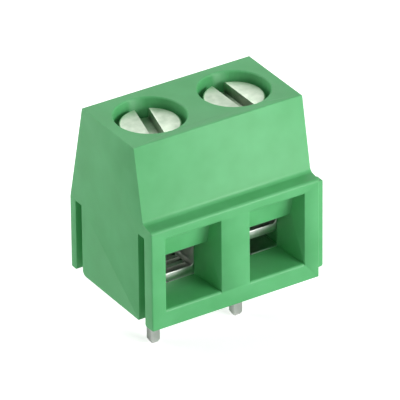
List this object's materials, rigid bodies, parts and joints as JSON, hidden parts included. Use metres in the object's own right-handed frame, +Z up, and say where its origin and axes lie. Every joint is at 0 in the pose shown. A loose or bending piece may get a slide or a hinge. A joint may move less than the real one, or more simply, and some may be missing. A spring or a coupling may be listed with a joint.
{
  "type": "pcb screw terminal block",
  "caption": "Low moulded screw terminal block for a printed circuit board, with side-entry wire funnels, rising clamp cages, slotted screws and solder pins.",
  "frame": {"origin": "on the board plane, midway between the two solder pins", "axes": "+X along the row of poles towards the side with the tongues, +Y from the wire entries to the back, +Z up from the board towards the screws"},
  "size_m": [0.0109, 0.008, 0.0135],
  "materials": {
    "housing": "moulded polyamide, fine satin",
    "cage": "zinc plated",
    "contact": "tin plated",
    "screw": "zinc plated"
  },
  "bodies": {
    "block": {"housing": "housing", "contact_left": "contact", "contact_right": "contact"},
    "cage_left": {"cage_left": "cage"},
    "cage_right": {"cage_right": "cage"},
    "screw_left": {"screw_left": "screw"},
    "screw_right": {"screw_right": "screw"}
  },
  "joints": [
    {"name": "cage_left_rise", "type": "slide", "parent": "block", "child": "cage_left", "axis": [0, 0, 1], "range_m": [-0.0004, 0.00198]},
    {"name": "screw_left_turn", "type": "hinge", "parent": "block", "child": "screw_left", "pos_m": [-0.00254, 0, 0.009], "axis": [0, 0, -1], "range_deg": [-320.5, 1584.5]},
    {"name": "cage_right_rise", "type": "slide", "parent": "block", "child": "cage_right", "axis": [0, 0, 1], "range_m": [-0.0013, 0.00108]},
    {"name": "screw_right_turn", "type": "hinge", "parent": "block", "child": "screw_right", "pos_m": [0.00254, 0, 0.009], "axis": [0, 0, -1], "range_deg": [-1040.5, 864.5]}
  ],
  "couplings": [
    {"joint": "screw_left_turn", "follows": "cage_left_rise", "rad_per_m": 13963},
    {"joint": "screw_right_turn", "follows": "cage_right_rise", "rad_per_m": 13963}
  ]
}
